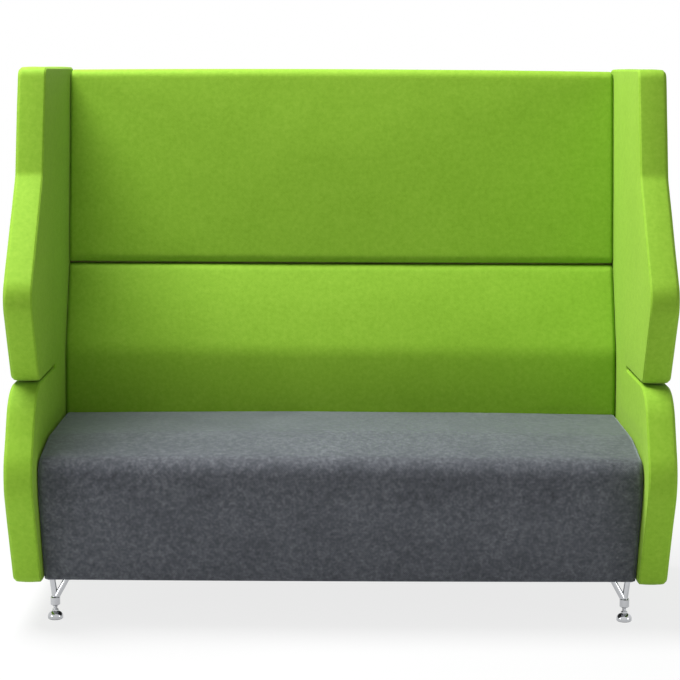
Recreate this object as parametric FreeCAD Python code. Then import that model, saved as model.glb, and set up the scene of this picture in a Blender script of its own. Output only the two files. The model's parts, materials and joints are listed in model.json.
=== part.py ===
import FreeCAD, Part
import math
import os
from FreeCAD import Vector

# Acoustic high-back sofa, in millimetres.
# X is the width, the sofa faces -Y and stands on the plane z = 0. Left is -X.

# Overall size
width = 1600.0
height = 1360.0
base_height = 110.0              # floor to the underside of the upholstery

# Sheet goods and clearances
cover_thickness = 3.0            # cloth with its backing wadding
soft_clearance = 0.3             # between foam and what wraps it
webbing_thickness = 2.0
cloth_thickness = 2.0            # dust cloth under the frame
rail_thickness = 25.0
overshoot = 6.0                  # how far a cutting shape runs past the face it opens
flat_tolerance = 0.01            # an edge no taller than this lies in a face

# Steps that shape a padded piece
edge_steps = 3                   # along each rounded end
crown_steps = 3                  # from the middle to the end
hexagon_sides = 6

# Side panel: one padded board whose slit parts the wing above from the arm below
side_thickness = 70.0
side_core_thickness = 18.0
side_edge_radius = 10.0
side_corner_radius = 28.0
rear_foot_y = 330.0
wing_top_y = -100.0
crease_y = -172.0
crease_z = 1100.0
crease_radius = 40.0
wing_bulge_y = -396.0
wing_bulge_z = 820.0
wing_bulge_radius = 75.0
wing_lip_y = -282.0
wing_lip_radius = 25.0
slit_z = 603.0
slit_width = 6.0
slit_end_flat = 0.6              # between the two rounds at its blind end
slit_end_y = -20.0
arm_lip_y = -330.0
arm_lip_radius = 120.0
arm_bulge_y = -437.4
arm_bulge_z = 392.0
arm_bulge_radius = 135.0
arm_foot_y = -307.0

# Seat
seat_top = 456.0
seat_depth = 515.0               # lumbar panel to the nose of the seat
seat_side_gap = 5.0
seat_rear_gap = 1.0
seat_crown = 5.0
seat_edge_radius = 14.0
seat_rear_radius = 15.0
seat_flat_length = 320.0         # flat top before it falls to the nose
seat_break_radius = 250.0
seat_nose_drop = 32.0
seat_nose_radius = 45.0
seat_chin_drop = 131.0
seat_chin_setback = 14.0
seat_chin_radius = 80.0
apron_setback = 89.0             # nose to the foot of the apron
apron_foam = 20.0
seat_rail_top = 310.0
seat_rear_rail_setback = 13.0    # behind it the seat foam overhangs
seat_strap_width = 50.0
seat_strap_count = 6             # on each side of the centre rail
strap_tack_margin = 4.0

# Back
recline = 8.8                    # degrees
back_face_y = 200.0              # upper back plane where it would meet the seat top
back_top_drop = 6.0              # below the tops of the side panels
back_top_thickness = 80.0
back_top_radius = 22.0
back_side_gap = 0.5
back_rear_inset = 0.5            # rear cover inside the rear edges of the side panels
back_edge_radius = 10.0
back_crown = 4.0
back_top_foam = 10.0
back_lip = 52.0                  # how far the upper cover hangs down behind
upper_foam = 22.0
upper_board_thickness = 9.0
rear_board_thickness = 6.0
infill_thickness = 28.0          # acoustic wadding
seam_z = 841.0
seam_gap = 4.0
seam_radius = 10.0
top_rail_height = 60.0
mid_rail_height = 80.0
seat_level_rail_z = 380.0
seat_level_rail_height = 60.0
bottom_rail_height = 60.0

# Lumbar panel
lumbar_depth = 61.0              # proud of the upper back plane
lumbar_top_set = 2.0             # its top edge lies this far behind that plane
lumbar_top_radius = 14.0
lumbar_crest_z = 620.0
lumbar_tuck = 12.0               # the face draws back this far from the crest to the seat
lumbar_crest_radius = 70.0
lumbar_seat_radius = 40.0
lumbar_edge_radius = 12.0
lumbar_crown = 4.0
lumbar_floor_gap = 8.0           # above the seat frame
lumbar_strap_width = 50.0
lumbar_strap_count = 5

# Bolts that hold the side panels to the frames
bolt_radius = 4.0
bolt_head_height = 5.3
bolt_head_flats = 13.0
bolt_washer_radius = 9.0
bolt_washer_thickness = 1.6
bolt_clearance = 0.3
tnut_barrel_radius = 5.0
tnut_flange_radius = 11.0
tnut_flange_thickness = 2.0
thread_clearance = 0.05
seat_bolt_margin = 60.0          # from the front and rear seat rails
upper_bolt_drop = 131.0          # below the top rail of the back
lower_bolt_drop = 101.0          # below the middle rail of the back

# Legs
leg_inset = 22.0                 # foot's axis inside the inner faces of the side panels
leg_front_setback = 45.0         # behind the foot of the apron
leg_rear_setback = 66.0          # ahead of the rear board
leg_plate_size = 62.0
leg_plate_thickness = 5.0
leg_plate_inset = 13.0           # plate centre inside the foot's axis
leg_front_plate_shift = 10.0
leg_screw_offset = 24.0
leg_rod_radius = 7.5
leg_outer_rod_lean = 7.0
leg_inner_rod_lean = 32.0
leg_hub_radius = 12.0
leg_hub_top = 57.0
leg_hub_bottom = 35.0
leg_bore_depth = 21.5
leg_hub_chamfer = 2.0
corner_block_width = 50.0
corner_block_length = 70.0
corner_block_height = 40.0
corner_block_gap = 0.3
screw_radius = 2.5
screw_head_radius = 4.5
screw_head_height = 2.5
screw_length = 34.0

# Levelling feet
foot_radius = 19.0
foot_dome_height = 17.0
foot_neck_radius = 9.0
foot_rim_height = 5.0
foot_socket_depth = 8.0
foot_pad_radius = 17.0
foot_pad_thickness = 3.0
foot_pad_recess = 1.5
stud_radius = 5.0
stud_top_gap = 1.0
collar_flats = 14.0
collar_gap = 0.5                 # collar to the foot's neck
collar_stop_gap = 0.3            # collar to the hub, with the foot screwed right in
foot_travel = 10.5               # seven turns of the stud

# Worked out from the sizes above
inner_half = width / 2 - side_thickness
back_top = height - back_top_drop
frame_bottom = base_height + cloth_thickness
slit_low = slit_z - slit_width / 2
slit_high = slit_z + slit_width / 2
slit_end_radius = (slit_width - slit_end_flat) / 2
seam_low = seam_z - seam_gap / 2
seam_high = seam_z + seam_gap / 2
back_half = inner_half - back_side_gap
seat_half = inner_half - seat_side_gap
rail_half = inner_half - rail_thickness
leg_x = inner_half - leg_inset
panel_depth = cover_thickness + soft_clearance + upper_foam + upper_board_thickness
rear_depth = cover_thickness + rear_board_thickness
frame_top = back_top - cover_thickness - back_top_foam
lip_z = back_top - back_lip
seat_floor = seat_rail_top + webbing_thickness
lumbar_floor = seat_rail_top + lumbar_floor_gap
apron_depth = cover_thickness + soft_clearance + apron_foam


def back_face(z):
    """Y of the upper back plane at height z."""
    return back_face_y + (z - seat_top) * math.tan(math.radians(recline))


rear_top_y = back_face(height) + back_top_thickness


def rear_edge(z):
    """Y of the rear edges of the side panels at height z."""
    rise = (z - base_height) / (height - base_height)
    return rear_foot_y + (rear_top_y - rear_foot_y) * rise


def rear_face(z):
    """Y of the rear cover's outer face at height z."""
    return rear_edge(z) - back_rear_inset


lumbar_seat_y = back_face(seat_top) - lumbar_depth + lumbar_tuck
seat_rear_y = lumbar_seat_y - seat_rear_gap
seat_nose_y = seat_rear_y - seat_depth
seat_nose_z = seat_top - seat_nose_drop
seat_break_y = seat_rear_y - seat_flat_length
seat_chin_y = seat_nose_y + seat_chin_setback
seat_chin_z = seat_top - seat_chin_drop
apron_foot_y = seat_nose_y + apron_setback


def apron_front(z):
    """Y of the raked apron at height z."""
    rise = (z - base_height) / (seat_chin_z - base_height)
    return apron_foot_y + (seat_chin_y - apron_foot_y) * rise


def rounded_wire(corners, x):
    """Closed outline in the plane at x, from (y, z, radius) corners."""
    points = [Vector(x, y, z) for y, z, radius in corners]
    count = len(points)
    arcs = []
    for index, (y, z, radius) in enumerate(corners):
        here = points[index]
        before = (points[index - 1] - here).normalize()
        after = (points[(index + 1) % count] - here).normalize()
        half = before.getAngle(after) / 2
        reach = radius / math.tan(half)
        bisector = (before + after).normalize()
        nearest = here + bisector * (radius / math.sin(half) - radius)
        arcs.append((here + before * reach, nearest, here + after * reach, radius > 0))
    edges = []
    for index, (start, nearest, end, is_round) in enumerate(arcs):
        if is_round:
            edges.append(Part.Arc(start, nearest, end).toShape())
        following = arcs[(index + 1) % count][0]
        edges.append(Part.LineSegment(end, following).toShape())
    return Part.Wire(edges)


def crossing(point_a, along_a, point_b, along_b):
    """Where two straight lines in the plane of y and z meet."""
    span = (point_b[0] - point_a[0], point_b[1] - point_a[1])
    cross = along_a[0] * along_b[1] - along_a[1] * along_b[0]
    step = (span[0] * along_b[1] - span[1] * along_b[0]) / cross
    return point_a[0] + along_a[0] * step, point_a[1] + along_a[1] * step


def inset_corners(corners, amount):
    """The outline drawn in by amount. Outward corners lose that radius and inward ones gain it."""
    count = len(corners)
    sides = []
    doubled_area = 0.0
    for index in range(count):
        y1, z1, _ = corners[index]
        y2, z2, _ = corners[(index + 1) % count]
        doubled_area += y1 * z2 - y2 * z1
        length = math.hypot(y2 - y1, z2 - z1)
        sides.append((y1, z1, (y2 - y1) / length, (z2 - z1) / length))
    turn = math.copysign(1.0, doubled_area)
    moved = [(y - turn * dz * amount, z + turn * dy * amount, dy, dz) for y, z, dy, dz in sides]
    result = []
    for index, (_, _, radius) in enumerate(corners):
        y1, z1, dy1, dz1 = moved[index - 1]
        y2, z2, dy2, dz2 = moved[index]
        y, z = crossing((y1, z1), (dy1, dz1), (y2, z2), (dy2, dz2))
        outward = turn * (dy1 * dz2 - dz1 * dy2) > 0
        result.append((y, z, radius - amount if outward else radius + amount))
    return result


def slab(corners, x_low, x_high):
    """An outline of y and z given a thickness along X."""
    return Part.Face(rounded_wire(corners, x_low)).extrude(Vector(x_high - x_low, 0, 0))


def polygon(points):
    """Sharp corners from plain (y, z) points."""
    return [(y, z, 0.0) for y, z in points]


def rounded_panel(corners, x_low, x_high, edge_radius):
    """A slab with the rims of both its faces rounded."""
    solid = slab(corners, x_low, x_high)
    rims = [edge for edge in solid.Edges if edge.BoundBox.XLength < flat_tolerance]
    return solid.makeFillet(edge_radius, rims)


def padded_stations(half, edge_radius, crown):
    """(x, draw) across a padded piece: rounded ends, and a crown that grows to the middle."""
    right = []
    for step in range(edge_steps, -1, -1):
        angle = math.pi / 2 * step / edge_steps
        right.append((half - edge_radius * (1 - math.sin(angle)), edge_radius * (1 - math.cos(angle))))
    for step in range(crown_steps - 1, 0, -1):
        share = step / crown_steps
        right.append((share * half, -crown * (1 - share * share)))
    left = [(-x, draw) for x, draw in right]
    return left + [(0.0, -crown)] + right[::-1]


def padded_loft(profile, half, edge_radius, crown, inside=0.0):
    """Loft of profile(draw) along X, shrunk by inside on its ends and drawn faces."""
    stations = padded_stations(half - inside, edge_radius - inside, crown)
    wires = [rounded_wire(profile(draw + inside), x) for x, draw in stations]
    return Part.makeLoft(wires, True, True)


def mirrored(shape):
    """The same piece on the other side of the middle."""
    return shape.mirror(Vector(0, 0, 0), Vector(1, 0, 0))


def cylinder_x(radius, x_low, x_high, y, z):
    """Round bar along X."""
    return Part.makeCylinder(radius, x_high - x_low, Vector(x_low, y, z), Vector(1, 0, 0))


def hexagon_face(flats, centre, along_x):
    """Hexagon across flats, square to X or to Z."""
    corner = flats / math.sqrt(3)
    points = []
    for step in range(hexagon_sides + 1):
        angle = 2 * math.pi * step / hexagon_sides
        first = corner * math.cos(angle)
        second = corner * math.sin(angle)
        offset = Vector(0, first, second) if along_x else Vector(first, second, 0)
        points.append(centre + offset)
    return Part.Face(Part.makePolygon(points))


nodes = {}


# Side panels, built on the right and mirrored

side_corners = [
    (rear_foot_y, base_height, side_corner_radius),
    (arm_foot_y, base_height, side_corner_radius),
    (arm_bulge_y, arm_bulge_z, arm_bulge_radius),
    (arm_lip_y, slit_low, arm_lip_radius),
    (slit_end_y, slit_low, slit_end_radius),
    (slit_end_y, slit_high, slit_end_radius),
    (wing_lip_y, slit_high, wing_lip_radius),
    (wing_bulge_y, wing_bulge_z, wing_bulge_radius),
    (crease_y, crease_z, crease_radius),
    (wing_top_y, height, side_corner_radius),
    (rear_top_y, height, side_corner_radius),
]
side_outer_x = width / 2
core_low_x = inner_half + (side_thickness - side_core_thickness) / 2
core_high_x = core_low_x + side_core_thickness


def side_filling(inside):
    """What the side cover wraps, drawn in by inside."""
    corners = inset_corners(side_corners, inside)
    return rounded_panel(corners, inner_half + inside, side_outer_x - inside, side_edge_radius - inside)


def across(x_low, x_high):
    """A block that spans the whole side of the sofa between two planes."""
    reach = 2 * height
    return Part.makeBox(x_high - x_low, 2 * reach, 2 * reach, Vector(x_low, -reach, -reach))


side_body = rounded_panel(side_corners, inner_half, side_outer_x, side_edge_radius)
side_cover = side_body.cut(side_filling(cover_thickness))
side_wrapped = side_filling(cover_thickness + soft_clearance)
side_foam_inner = side_wrapped.common(across(inner_half, core_low_x))
side_core = side_wrapped.common(across(core_low_x, core_high_x))
side_foam_outer = side_wrapped.common(across(core_high_x, side_outer_x))

# Seat frame

seat_front_rail_corners = polygon([
    (apron_front(frame_bottom) + apron_depth, frame_bottom),
    (apron_front(seat_rail_top) + apron_depth, seat_rail_top),
    (apron_front(seat_rail_top) + apron_depth + rail_thickness, seat_rail_top),
    (apron_front(frame_bottom) + apron_depth + rail_thickness, frame_bottom),
])
seat_front_rail = slab(seat_front_rail_corners, -inner_half, inner_half)

seat_side_rail_corners = polygon([
    (apron_front(frame_bottom) + apron_depth + rail_thickness, frame_bottom),
    (apron_front(seat_rail_top) + apron_depth + rail_thickness, seat_rail_top),
    (back_face(seat_rail_top) + panel_depth, seat_rail_top),
    (back_face(frame_bottom) + panel_depth, frame_bottom),
])
seat_side_rail = slab(seat_side_rail_corners, rail_half, inner_half)

seat_rear_rail_y = seat_rear_y - seat_rear_rail_setback - rail_thickness
seat_rear_rail = Part.makeBox(2 * rail_half, rail_thickness, seat_rail_top - frame_bottom,
                              Vector(-rail_half, seat_rear_rail_y, frame_bottom))
seat_centre_rail = slab(seat_side_rail_corners, -rail_thickness / 2, rail_thickness / 2)

# The centre rail and the rear rail cross in a halving joint
halving_height = (seat_rail_top - frame_bottom) / 2
halving_corner = Vector(-rail_thickness / 2, seat_rear_rail_y, frame_bottom)
halving_low = Part.makeBox(rail_thickness, rail_thickness, halving_height, halving_corner)
halving_high = halving_low.translated(Vector(0, 0, halving_height))
seat_centre_rail = seat_centre_rail.cut(halving_low)
seat_rear_rail = seat_rear_rail.cut(halving_high)

strap_front_y = apron_front(seat_rail_top) + apron_depth + strap_tack_margin
strap_rear_y = seat_rear_rail_y + rail_thickness - strap_tack_margin
strap_length = strap_rear_y - strap_front_y
strap_pitch = (rail_half - rail_thickness / 2) / seat_strap_count
seat_straps = []
for side in (-1, 1):
    for index in range(seat_strap_count):
        strap_x = side * (rail_thickness / 2 + strap_pitch * (index + 1 / 2))
        corner = Vector(strap_x - seat_strap_width / 2, strap_front_y, seat_rail_top)
        seat_straps.append(Part.makeBox(seat_strap_width, strap_length, webbing_thickness, corner))

# Seat upholstery


def seat_profile(wall, floor_z, apron_floor_z, apron_back):
    """Seat section: top, nose and raked apron. The drawn faces move in as the loft asks."""
    def corners(draw):
        return [
            (seat_rear_y - wall, floor_z, 0.0),
            (seat_rear_y - wall, seat_top - draw, seat_rear_radius),
            (seat_break_y, seat_top - draw, seat_break_radius),
            (seat_nose_y + draw, seat_nose_z - draw, seat_nose_radius),
            (seat_chin_y + draw, seat_chin_z, seat_chin_radius),
            (apron_front(apron_floor_z) + draw, apron_floor_z, 0.0),
            (apron_front(apron_floor_z) + apron_back, apron_floor_z, 0.0),
            (apron_front(floor_z) + apron_back, floor_z, 0.0),
        ]
    return corners


seat_shape = (seat_half, seat_edge_radius, seat_crown)
wrapped_inset = cover_thickness + soft_clearance
seat_outer = padded_loft(seat_profile(0.0, seat_floor, base_height, apron_depth), *seat_shape)
seat_hollow = padded_loft(
    seat_profile(cover_thickness, seat_floor - overshoot, base_height + cover_thickness,
                 apron_depth + overshoot),
    *seat_shape, inside=cover_thickness)
seat_cover = seat_outer.cut(seat_hollow)
seat_foam = padded_loft(
    seat_profile(wrapped_inset, seat_floor + soft_clearance, base_height + wrapped_inset,
                 apron_depth - soft_clearance),
    *seat_shape, inside=wrapped_inset)

# Back frame


def frame_strip(z_low, z_high, depth):
    """Section of a cross rail that stands against the front of the back frame."""
    return polygon([
        (back_face(z_low) + panel_depth, z_low),
        (back_face(z_high) + panel_depth, z_high),
        (back_face(z_high) + panel_depth + depth, z_high),
        (back_face(z_low) + panel_depth + depth, z_low),
    ])


stile_corners = polygon([
    (back_face(frame_bottom) + panel_depth, frame_bottom),
    (back_face(frame_top) + panel_depth, frame_top),
    (rear_face(frame_top) - rear_depth, frame_top),
    (rear_face(frame_bottom) - rear_depth, frame_bottom),
])
back_stile = slab(stile_corners, rail_half, inner_half)
back_rail_spans = {
    "back_top_rail": (frame_top - top_rail_height, frame_top),
    "back_mid_rail": (seam_z - mid_rail_height / 2, seam_z + mid_rail_height / 2),
    "back_seat_rail": (seat_level_rail_z, seat_level_rail_z + seat_level_rail_height),
    "back_bottom_rail": (frame_bottom, frame_bottom + bottom_rail_height),
}
back_centre_stile = slab(stile_corners, -rail_thickness / 2, rail_thickness / 2)
for name, (z_low, z_high) in back_rail_spans.items():
    nodes[name] = slab(frame_strip(z_low, z_high, rail_thickness), -rail_half, rail_half)
    back_centre_stile = back_centre_stile.cut(nodes[name])

# Acoustic wadding fills the two bays behind the upper board
infill_low = back_rail_spans["back_mid_rail"][1]
infill_high = back_rail_spans["back_top_rail"][0]
infill_corners = frame_strip(infill_low, infill_high, infill_thickness)
infill_right = slab(infill_corners, rail_thickness / 2, rail_half)

# Upper back panel
upper_board_low = seam_high + cover_thickness
upper_board_corners = polygon([
    (back_face(upper_board_low) + panel_depth - upper_board_thickness, upper_board_low),
    (back_face(frame_top) + panel_depth - upper_board_thickness, frame_top),
    (back_face(frame_top) + panel_depth, frame_top),
    (back_face(upper_board_low) + panel_depth, upper_board_low),
])
upper_backing = slab(polygon([
    (back_face(upper_board_low) + panel_depth - upper_board_thickness, upper_board_low),
    (back_face(frame_top) + panel_depth - upper_board_thickness, frame_top),
    (rear_face(frame_top) - cover_thickness, frame_top),
    (rear_face(upper_board_low) - cover_thickness, upper_board_low),
]), -inner_half, inner_half)


def upper_profile(wall, floor_z, lip, panel_back):
    """Upper back section: reclined front, rounded top and a lip down the rear."""
    def corners(draw):
        return [
            (back_face(floor_z) + draw, floor_z, seam_radius - wall),
            (back_face(back_top - draw) + draw, back_top - draw, back_top_radius - wall),
            (rear_face(back_top - draw) - wall, back_top - draw, back_top_radius - wall),
            (rear_face(lip) - wall, lip, 0.0),
            (back_face(lip) + panel_back, lip, 0.0),
            (back_face(floor_z) + panel_back, floor_z, 0.0),
        ]
    return corners


upper_shape = (back_half, back_edge_radius, back_crown)
upper_outer = padded_loft(upper_profile(0.0, seam_high, lip_z, panel_depth), *upper_shape)
upper_hollow = padded_loft(
    upper_profile(cover_thickness, seam_high + cover_thickness, lip_z - overshoot, panel_depth + overshoot),
    *upper_shape, inside=cover_thickness)
upper_back_cover = upper_outer.cut(upper_hollow).cut(upper_backing)
upper_filling = padded_loft(
    upper_profile(wrapped_inset, seam_high + wrapped_inset, lip_z, panel_depth),
    *upper_shape, inside=wrapped_inset)
upper_back_foam = upper_filling.cut(upper_backing)

# Lumbar panel


def lumbar_profile(wall, top_z, floor_z, panel_back):
    """Lumbar section: a ramp out from the seam to the crest, then down behind the seat."""
    def corners(draw):
        return [
            (back_face(floor_z) + panel_back, floor_z, 0.0),
            (back_face(top_z) + panel_back, top_z, 0.0),
            (back_face(top_z) + lumbar_top_set + draw, top_z, lumbar_top_radius - wall),
            (back_face(lumbar_crest_z) - lumbar_depth + draw, lumbar_crest_z, lumbar_crest_radius - wall),
            (lumbar_seat_y + max(draw, wall), seat_top, lumbar_seat_radius),
            (lumbar_seat_y + max(draw, wall), floor_z, 0.0),
        ]
    return corners


lumbar_shape = (back_half, lumbar_edge_radius, lumbar_crown)
lumbar_outer = padded_loft(lumbar_profile(0.0, seam_low, lumbar_floor, panel_depth), *lumbar_shape)
lumbar_hollow = padded_loft(
    lumbar_profile(cover_thickness, seam_low - cover_thickness, lumbar_floor + cover_thickness,
                   panel_depth + overshoot),
    *lumbar_shape, inside=cover_thickness)
lumbar_cover = lumbar_outer.cut(lumbar_hollow)
lumbar_foam = padded_loft(
    lumbar_profile(wrapped_inset, seam_low - wrapped_inset, lumbar_floor + wrapped_inset,
                   panel_depth - webbing_thickness - soft_clearance),
    *lumbar_shape, inside=wrapped_inset)

lumbar_straps = []
lumbar_strap_low = lumbar_floor + wrapped_inset
lumbar_strap_pitch = (seam_low - wrapped_inset - lumbar_strap_low) / lumbar_strap_count
for index in range(lumbar_strap_count):
    z_low = lumbar_strap_low + lumbar_strap_pitch * (index + 1 / 2) - lumbar_strap_width / 2
    z_high = z_low + lumbar_strap_width
    lumbar_straps.append(slab(polygon([
        (back_face(z_low) + panel_depth - webbing_thickness, z_low),
        (back_face(z_high) + panel_depth - webbing_thickness, z_high),
        (back_face(z_high) + panel_depth, z_high),
        (back_face(z_low) + panel_depth, z_low),
    ]), -back_half + wrapped_inset, back_half - wrapped_inset))

# Rear board and rear cover
rear_board_corners = polygon([
    (rear_face(frame_bottom) - rear_depth, frame_bottom),
    (rear_face(frame_top) - rear_depth, frame_top),
    (rear_face(frame_top) - cover_thickness, frame_top),
    (rear_face(frame_bottom) - cover_thickness, frame_bottom),
])
rear_cover_corners = polygon([
    (rear_face(base_height) - cover_thickness, base_height),
    (rear_face(lip_z) - cover_thickness, lip_z),
    (rear_face(lip_z), lip_z),
    (rear_face(base_height), base_height),
])
rear_board = slab(rear_board_corners, -inner_half, inner_half)
rear_cover = slab(rear_cover_corners, -back_half, back_half)

# Dust cloth closes the underside
dust_front_y = apron_front(base_height) + apron_depth
dust_rear_y = rear_face(base_height) - cover_thickness
dust_cloth = Part.makeBox(2 * inner_half, dust_rear_y - dust_front_y, cloth_thickness,
                          Vector(-inner_half, dust_front_y, base_height))

# Bolts through the frames into T-nuts in the side cores
seat_bolt_z = (frame_bottom + seat_rail_top) / 2
seat_bolt_ys = (
    apron_front(seat_bolt_z) + apron_depth + rail_thickness + seat_bolt_margin,
    seat_rear_rail_y - seat_bolt_margin,
)
bolt_places = [(y, seat_bolt_z) for y in seat_bolt_ys]
back_bolt_heights = (
    back_rail_spans["back_mid_rail"][0] - lower_bolt_drop,
    back_rail_spans["back_top_rail"][0] - upper_bolt_drop,
)
for bolt_z in back_bolt_heights:
    stile_front = back_face(bolt_z) + panel_depth
    stile_rear = rear_face(bolt_z) - rear_depth
    bolt_places.append(((stile_front + stile_rear) / 2, bolt_z))

panel_bolts = []
panel_washers = []
panel_tnuts = []
washer_low_x = rail_half - bolt_washer_thickness
for bolt_y, bolt_z in bolt_places:
    shank = cylinder_x(bolt_radius, washer_low_x, core_high_x, bolt_y, bolt_z)
    head_centre = Vector(washer_low_x - bolt_head_height, bolt_y, bolt_z)
    head = hexagon_face(bolt_head_flats, head_centre, True).extrude(Vector(bolt_head_height, 0, 0))
    panel_bolts.append(head.fuse(shank))
    shank_hole = cylinder_x(bolt_radius + bolt_clearance, washer_low_x, core_low_x, bolt_y, bolt_z)
    washer = cylinder_x(bolt_washer_radius, washer_low_x, rail_half, bolt_y, bolt_z)
    panel_washers.append(washer.cut(shank_hole))
    barrel = cylinder_x(tnut_barrel_radius, core_low_x, core_high_x, bolt_y, bolt_z)
    flange_high_x = core_high_x + tnut_flange_thickness
    flange = cylinder_x(tnut_flange_radius, core_high_x, flange_high_x, bolt_y, bolt_z)
    thread = cylinder_x(bolt_radius + thread_clearance, core_low_x, core_high_x, bolt_y, bolt_z)
    panel_tnuts.append(barrel.fuse(flange).cut(thread))
    side_cover = side_cover.cut(shank_hole)
    side_foam_inner = side_foam_inner.cut(shank_hole)
    side_core = side_core.cut(barrel)
    side_foam_outer = side_foam_outer.cut(flange)
    pocket_low_x = washer_low_x - bolt_head_height - soft_clearance
    infill_right = infill_right.cut(
        cylinder_x(bolt_washer_radius + soft_clearance, pocket_low_x, rail_half, bolt_y, bolt_z))
    seat_side_rail = seat_side_rail.cut(shank_hole)
    back_stile = back_stile.cut(shank_hole)

# Legs: plate, two rods and a bored hub, with screws into the frame above

front_leg_y = apron_front(base_height) + leg_front_setback
rear_leg_y = rear_face(frame_bottom) - rear_depth - leg_rear_setback
plate_low = base_height - leg_plate_thickness
plate_x = leg_x - leg_plate_inset
leg_bore_top = leg_hub_bottom + leg_bore_depth


def rod(start, end):
    """Round rod between two points."""
    along = end - start
    return Part.makeCylinder(leg_rod_radius, along.Length, start, along)


def leg_frame(leg_y, plate_y, screw_places):
    """Welded leg on the right side."""
    plate_corner = Vector(plate_x - leg_plate_size / 2, plate_y - leg_plate_size / 2, plate_low)
    frame = Part.makeBox(leg_plate_size, leg_plate_size, leg_plate_thickness, plate_corner)
    foot_of_rods = Vector(leg_x, leg_y, leg_hub_top - leg_rod_radius)
    top_z = plate_low + leg_plate_thickness / 2
    frame = frame.fuse(rod(foot_of_rods, Vector(leg_x + leg_outer_rod_lean, leg_y, top_z)))
    frame = frame.fuse(rod(foot_of_rods, Vector(leg_x - leg_inner_rod_lean, leg_y, top_z)))
    hub_foot = Vector(leg_x, leg_y, leg_hub_bottom)
    hub = Part.makeCylinder(leg_hub_radius, leg_hub_top - leg_hub_bottom, hub_foot)
    rims = [edge for edge in hub.Edges if edge.BoundBox.ZLength < flat_tolerance]
    frame = frame.fuse(hub.makeChamfer(leg_hub_chamfer, rims))
    bore = Part.makeCylinder(stud_radius + thread_clearance, leg_bore_depth, hub_foot)
    above_corner = Vector(0, plate_y - leg_plate_size / 2, base_height)
    above_plate = Part.makeBox(width, leg_plate_size, height, above_corner)
    frame = frame.cut(bore).cut(above_plate)
    for screw_x, screw_y in screw_places:
        frame = frame.cut(screw_hole(screw_x, screw_y))
    return frame


def screw_hole(screw_x, screw_y):
    """Way for one screw through plate, cloth and timber."""
    place = Vector(screw_x, screw_y, plate_low)
    return Part.makeCylinder(screw_radius + thread_clearance, screw_length + leg_plate_thickness, place)


def wood_screw(screw_x, screw_y):
    """Screw with its head under the leg plate."""
    under_plate = Vector(screw_x, screw_y, plate_low)
    head_low = under_plate - Vector(0, 0, screw_head_height)
    head = Part.makeCylinder(screw_head_radius, screw_head_height, head_low)
    return head.fuse(Part.makeCylinder(screw_radius, screw_length, under_plate))


def corner_block(y_low):
    """Timber block beside the side rail that takes the inner screws of a leg."""
    return Part.makeBox(corner_block_width, corner_block_length, corner_block_height,
                        Vector(rail_half - corner_block_width, y_low, frame_bottom))


front_block_y = apron_front(frame_bottom) + apron_depth + rail_thickness + corner_block_gap
rear_block_y = rear_leg_y - corner_block_length / 2
corner_blocks = [corner_block(front_block_y), corner_block(rear_block_y)]
leg_places = {
    "front": (front_leg_y, front_leg_y + leg_front_plate_shift),
    "rear": (rear_leg_y, rear_leg_y),
}
leg_screws = []
for where, (leg_y, plate_y) in leg_places.items():
    screw_places = []
    for x_sign in (-1, 1):
        for y_sign in (-1, 1):
            screw_places.append((plate_x + x_sign * leg_screw_offset, plate_y + y_sign * leg_screw_offset))
    leg = leg_frame(leg_y, plate_y, screw_places)
    nodes["leg_" + where + "_right"] = leg
    nodes["leg_" + where + "_left"] = mirrored(leg)
    for screw_x, screw_y in screw_places:
        hole = screw_hole(screw_x, screw_y)
        leg_screws.append(wood_screw(screw_x, screw_y))
        dust_cloth = dust_cloth.cut(hole).cut(mirrored(hole))
        seat_front_rail = seat_front_rail.cut(hole).cut(mirrored(hole))
        seat_side_rail = seat_side_rail.cut(hole)
        back_stile = back_stile.cut(hole)
        corner_blocks = [block.cut(hole) for block in corner_blocks]

# Levelling feet: a collared stud that turns in a domed foot on a rubber pad
foot_base = foot_pad_thickness - foot_pad_recess
foot_top = foot_base + foot_dome_height
socket_floor = foot_top - foot_socket_depth
collar_low = foot_top + collar_gap


def foot_dome(foot_y):
    """Domed foot with a socket for the stud above and a recess for the pad below."""
    axis_point = Vector(leg_x, foot_y, 0)
    rim = Vector(leg_x + foot_radius, foot_y, foot_base)
    shoulder = Vector(leg_x + foot_radius, foot_y, foot_base + foot_rim_height)
    neck = Vector(leg_x + foot_neck_radius, foot_y, foot_top)
    # The dome's arc leaves the rim upright and ends at the neck
    run = foot_radius - foot_neck_radius
    rise = foot_dome_height - foot_rim_height
    arc_radius = (run * run + rise * rise) / (2 * run)
    half_turn = math.atan2(rise, arc_radius - run) / 2
    middle = shoulder + Vector(arc_radius * (math.cos(half_turn) - 1), 0, arc_radius * math.sin(half_turn))
    outline = Part.Wire([
        Part.LineSegment(Vector(leg_x, foot_y, foot_base), rim).toShape(),
        Part.LineSegment(rim, shoulder).toShape(),
        Part.Arc(shoulder, middle, neck).toShape(),
        Part.LineSegment(neck, Vector(leg_x, foot_y, foot_top)).toShape(),
        Part.LineSegment(Vector(leg_x, foot_y, foot_top), Vector(leg_x, foot_y, foot_base)).toShape(),
    ])
    dome = Part.Face(outline).revolve(axis_point, Vector(0, 0, 1), 360)
    socket_centre = Vector(leg_x, foot_y, socket_floor)
    socket = Part.makeCylinder(stud_radius + thread_clearance, foot_socket_depth, socket_centre)
    recess = Part.makeCylinder(foot_pad_radius, foot_pad_recess, Vector(leg_x, foot_y, foot_base))
    return dome.cut(socket).cut(recess)


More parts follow.
